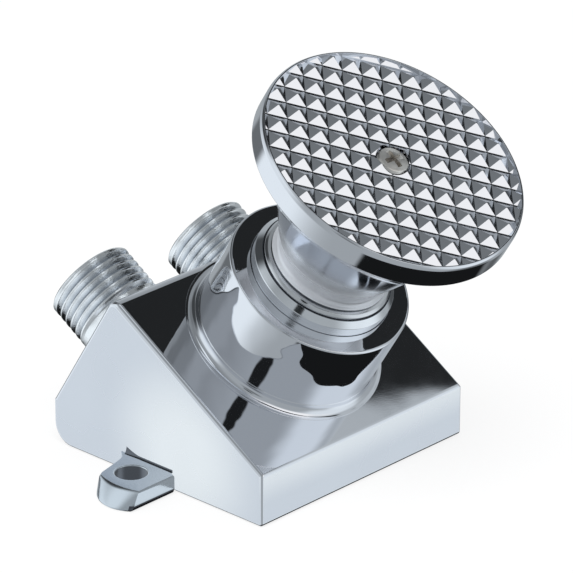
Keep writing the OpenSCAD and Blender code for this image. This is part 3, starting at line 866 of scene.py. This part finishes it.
def screw():
    """Shank and head of the screw, with a tapered cross cut into the head."""
    line = rounded([(0, SHANK_LOW, 0), (SHANK_R, SHANK_LOW, 0.1), (SHANK_R, HEAD_H, 0.1), (HEAD_R, HEAD_H, 0.15),
                    (HEAD_R, HEAD_H + 0.95, 0.3), (3.3, HEAD_H + 1.5, 0.5), (1.9, HEAD_H + 1.82, 2.0),
                    (0, HEAD_H + 1.9, 0)], 5)
    verts, faces = lathe(line, 96)
    mesh = bpy.data.meshes.new("screw_blank")
    mesh.from_pydata(verts, [], faces)
    blank = link("screw_blank", mesh)
    wide, slim = 2.3, 0.58
    for turn in (-4, 86):
        corners = []
        for height, grow_by in ((HEAD_H + 0.7, -0.14), (HEAD_H + 2.1, 0.06)):
            corners += [(sx * (wide + 5 * grow_by), sy * (slim + grow_by), height) for sx, sy in SQUARE]
        box = bpy.data.meshes.new("screw_cut")
        box.from_pydata([Matrix.Rotation(math.radians(turn), 4, "Z") @ Vector(v) for v in corners], [],
                        [(3, 2, 1, 0), (4, 5, 6, 7), (0, 1, 5, 4), (1, 2, 6, 5), (2, 3, 7, 6), (3, 0, 4, 7)])
        cut(blank, link("screw_cut", box))
    result = blank.data
    bpy.data.objects.remove(blank)
    return [tuple(v.co) for v in result.vertices], [list(p.vertices) for p in result.polygons]


head = piece("pedal_screw_head", *screw(), ON_AXIS, "pedal_group", "screw_nickel", [], NICKEL, smooth=40)
# The faces of the cross recess get painted shade
patch(head, RECESS, ON_AXIS, lambda c, n: HEAD_H + 0.3 < c.z < HEAD_H + 1.48 and math.hypot(c.x, c.y) < 2.95)


# Return spring, which shortens as the pedal goes down; it is built here at one length

def spring():
    """Round wire along a helix, just clear of the washers at both ends."""
    per_turn, turns, sides, radius, wire, gap = 48, 5, 12, 10.4, 0.8, 0.06
    low, high = SPRING_LOW + wire + gap, SPRING_HIGH - wire - gap
    total = per_turn * turns
    verts = []
    for i in range(total + 1):
        a = 2 * math.pi * i / per_turn
        out = Vector((math.cos(a), math.sin(a), 0))
        centre = Vector((radius * math.cos(a), radius * math.sin(a), low + (high - low) * i / total))
        for k in range(sides):
            t = 2 * math.pi * k / sides
            verts.append(centre + wire * (math.cos(t) * out + math.sin(t) * Vector((0, 0, 1))))
    return verts, tube(total + 1, sides)


coil = piece("spring_coil", *spring(), ON_AXIS, "housing", "spring_steel", ["return_spring"], SPRING)
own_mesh(coil)


# Materials of the pieces taken over from the CAD

finishes = {
    "seat_gasket": FIBRE, "guide_gasket": FIBRE, "seat_ring": BRASS, "guide_bush": BRASS, "stem_orings": RUBBER,
    "spring_washer": STEEL, "spring_cap": STEEL, "bonnet_oring": RUBBER, "plunger_ring": PLASTIC,
    "plunger_oring": RUBBER, "stem": STEEL, "poppet_washer": RUBBER, "poppet_disc": BRASS, "poppet_nut": STEEL,
    "pedal_lock_washer": STEEL,
}
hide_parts("pedal_screw")
for name, material in finishes.items():
    node = frame["nodes"][name]
    node.data.materials.clear()
    node.data.materials.append(material)


# Floor, tent and light, in metres

FLOOR_HALF = 6
FLOOR_DROP = 0.0002
TENT_R = 40
TENT_Z = 0.04
LAMP_AIM = Vector((0, 0, 0.03))


def floor_material():
    """Matte floor that the camera sees as glowing white, with painted shadow under the ear holes, where the glow is
    taken out.
    """
    mat, tree, shader = start_material("white floor")
    tree.nodes.remove(shader)
    matte = tree.nodes.new("ShaderNodeBsdfDiffuse")
    matte.inputs["Color"].default_value = (0.22, 0.22, 0.22, 1)
    glow = tree.nodes.new("ShaderNodeEmission")
    glow.inputs["Color"].default_value = (0.80, 0.80, 0.80, 1)
    rays = tree.nodes.new("ShaderNodeLightPath").outputs
    seen = math_node(tree, "MAXIMUM", rays["Is Camera Ray"], rays["Is Glossy Ray"])
    place = split(tree, object_coords(tree))
    mirrored = join(tree, X=math_node(tree, "ABSOLUTE", place["X"]), Y=place["Y"])
    away = vector_node(tree, "DISTANCE", mirrored, (EAR_X * MM, 0, 0))
    # Painted shadow: no glow within the ear holes
    glow_outside_hole_shadow = remap(tree, away, (0.0034, 0.0046), (0, 1))
    tree.links.new(math_node(tree, "MULTIPLY", seen, glow_outside_hole_shadow), glow.inputs["Strength"])
    both = tree.nodes.new("ShaderNodeAddShader")
    tree.links.new(matte.outputs["BSDF"], both.inputs[0])
    tree.links.new(glow.outputs["Emission"], both.inputs[1])
    tree.links.new(both.outputs["Shader"], tree.nodes["Material Output"].inputs["Surface"])
    return mat


def floor():
    """Floor just below the part, hidden from mirror rays."""
    mesh = bpy.data.meshes.new("floor")
    mesh.from_pydata([(sx * FLOOR_HALF, sy * FLOOR_HALF, 0) for sx, sy in SQUARE], [], [(0, 1, 2, 3)])
    mesh.materials.append(floor_material())
    obj = link("floor", mesh)
    obj.location.z = -FLOOR_DROP
    obj.visible_glossy = False


# Panels of the studio tent that the metal mirrors: azimuth, elevation, half width, half height, softness, tone.
# Azimuth 0 is straight in front of the part and 90 is to its right. A tone of 1 is an opening to the white backdrop.
PANELS = [
    (8, 38, 20, 15, 0.5, 1.0), (-150, -14, 32, 32, 0.5, 0.97), (28, 6, 24, 34, 0.5, 0.86),
    (42, -24, 18, 18, 0.5, 0.92), (-122, 26, 22, 24, 0.5, 0.92), (75, -74, 33, 33, 0.1, 0.01),
    (-20, -76, 28.5, 28.5, 0.06, 0.01), (134, -43, 24, 12, 0.3, 0.05), (96, -16, 15, 9, 0.4, 0.08),
    (68, 40, 14, 13, 0.5, 0.55), (52, 46, 8, 5, 0.4, 0.02), (91, 40, 7.9, 20, 0.02, 0.02),
    (112, 30, 8, 9, 0.4, 0.85), (-50, 81, 9, 9, 0.4, 0.95),
    (89, 6, 10, 12, 0.35, 0.06), (125, 9, 16, 14, 0.5, 0.6), (-176, 45, 24, 20, 0.4, 0.06),
    (160, 71, 13, 9, 0.3, 0.2), (-100, 60, 14, 9, 0.5, 0.38), (-55, 8, 10, 10, 0.5, 0.18),
    (-47.4, 25.4, 5.5, 4.5, 0.2, 0.015), (173, -9.5, 14, 6, 0.3, 0.17),
]


def tent_material():
    """Glowing cloth, a little darker overhead, with the panels laid over it one after another."""
    mat, tree, shader = start_material("studio tent")
    tree.nodes.remove(shader)
    unit = vector_node(tree, "NORMALIZE", object_coords(tree))

    def towards(direction):
        """How far a place on the tent lies in a direction."""
        return vector_node(tree, "DOT_PRODUCT", unit, direction)

    def panel(azimuth, elevation, wide, tall, soft):
        """Mask of an oval panel with soft edges."""
        a, e = math.radians(azimuth), math.radians(elevation)
        centre = Vector((math.sin(a) * math.cos(e), -math.cos(a) * math.cos(e), math.sin(e)))
        across = Vector((math.cos(a), math.sin(a), 0)) / math.sin(math.radians(wide))
        upward = Vector((-math.sin(a) * math.sin(e), math.cos(a) * math.sin(e), math.cos(e)))
        upward = upward / math.sin(math.radians(tall))
        far = vector_node(tree, "LENGTH", join(tree, X=towards(across), Y=towards(upward)))
        inside = remap(tree, far, (1 + soft, 1 - soft), (0, 1), smooth=True)
        return math_node(tree, "MULTIPLY", inside, math_node(tree, "GREATER_THAN", towards(centre)))

    tone = remap(tree, towards((0, 0, 1)), (0.5, 1.0), (0.42, 0.25))
    opening = None
    for *shape, level in PANELS:
        mask = panel(*shape)
        if level >= 1:
            opening = mask if opening is None else math_node(tree, "MAXIMUM", opening, mask)
        else:
            under = math_node(tree, "MULTIPLY", tone, remap(tree, mask, (0, 1), (1, 0)))
            tone = math_node(tree, "ADD", under, math_node(tree, "MULTIPLY", mask, level))
    glow = tree.nodes.new("ShaderNodeEmission")
    glow.inputs["Color"].default_value = (0.88, 0.95, 1, 1)
    tree.links.new(tone, glow.inputs["Strength"])
    clear = tree.nodes.new("ShaderNodeBsdfTransparent")
    mix = tree.nodes.new("ShaderNodeMixShader")
    tree.links.new(opening, mix.inputs["Fac"])
    tree.links.new(glow.outputs["Emission"], mix.inputs[1])
    tree.links.new(clear.outputs["BSDF"], mix.inputs[2])
    tree.links.new(mix.outputs["Shader"], tree.nodes["Material Output"].inputs["Surface"])
    return mat


def tent():
    """Round tent that only the mirror-like surfaces see."""
    work = bmesh.new()
    bmesh.ops.create_uvsphere(work, u_segments=64, v_segments=32, radius=TENT_R)
    mesh = bpy.data.meshes.new("tent")
    work.to_mesh(mesh)
    work.free()
    mesh.materials.append(tent_material())
    obj = link("tent", mesh)
    obj.location = (0, 0, TENT_Z)
    obj.visible_camera = False
    obj.visible_diffuse = False
    obj.visible_shadow = False
    obj.visible_transmission = False


def world():
    """White backdrop for camera, mirror and clear rays, and a dimmer, cooler light for the rest."""
    scene = bpy.context.scene
    scene.world = bpy.data.worlds.new("studio")
    scene.world.use_nodes = True
    tree = scene.world.node_tree
    back = tree.nodes["Background"]
    back.inputs["Color"].default_value = (1, 1, 1, 1)
    soft = tree.nodes.new("ShaderNodeBackground")
    soft.inputs["Color"].default_value = (0.97, 0.985, 1, 1)
    soft.inputs["Strength"].default_value = 0.55
    rays = tree.nodes.new("ShaderNodeLightPath").outputs
    seen = math_node(tree, "MAXIMUM", rays["Is Camera Ray"], rays["Is Glossy Ray"])
    seen = math_node(tree, "MAXIMUM", seen, rays["Is Transmission Ray"])
    mix = tree.nodes.new("ShaderNodeMixShader")
    tree.links.new(seen, mix.inputs["Fac"])
    tree.links.new(soft.outputs["Background"], mix.inputs[1])
    tree.links.new(back.outputs["Background"], mix.inputs[2])
    tree.links.new(mix.outputs["Shader"], tree.nodes["World Output"].inputs["Surface"])


def lamp(name, place, size, power):
    """Round lamp that points at the part and is hidden from mirror rays."""
    data = bpy.data.lights.new(name, "AREA")
    data.shape = "DISK"
    data.size = size
    data.energy = power
    obj = link(name, data)
    obj.location = place
    obj.rotation_euler = (LAMP_AIM - Vector(place)).to_track_quat("-Z", "Y").to_euler()
    obj.visible_glossy = False


floor()
tent()
world()
lamp("key", (-0.5, -0.3, 1.1), 0.9, 9)
lamp("fill", (0.9, -0.8, 0.9), 0.9, 4)


# Camera of the photograph

def camera():
    """Camera fitted to the photograph: focal length and shifts in its pixels, distances in millimetres."""
    turn, lift = math.radians(46.61), math.radians(24.18)
    focal, photo_width, shift_right, shift_up = 4568.4, 573, 21.97, 51.47
    target, distance, sensor = Vector((0, -3.6, 25)), 1016.1, 36
    back = Vector((-math.sin(turn) * math.cos(lift), -math.cos(turn) * math.cos(lift), math.sin(lift)))
    right = Vector((math.cos(turn), -math.sin(turn), 0))
    up = Vector((math.sin(turn) * math.sin(lift), math.cos(turn) * math.sin(lift), math.cos(lift)))
    eye = target + back * distance
    look = (-back + right * (shift_right / focal) + up * (shift_up / focal)).normalized()
    side = look.cross(up).normalized()
    over = side.cross(look)
    data = bpy.data.cameras.new("photo")
    data.sensor_width = sensor
    data.lens = focal / photo_width * sensor
    data.clip_start, data.clip_end = 0.05, 30
    obj = link("photo", data)
    obj.matrix_world = Matrix(((side.x, over.x, -look.x, eye.x * MM), (side.y, over.y, -look.y, eye.y * MM),
                               (side.z, over.z, -look.z, eye.z * MM), (0, 0, 0, 1)))
    bpy.context.scene.camera = obj


camera()
bpy.context.scene.view_settings.view_transform = "Standard"
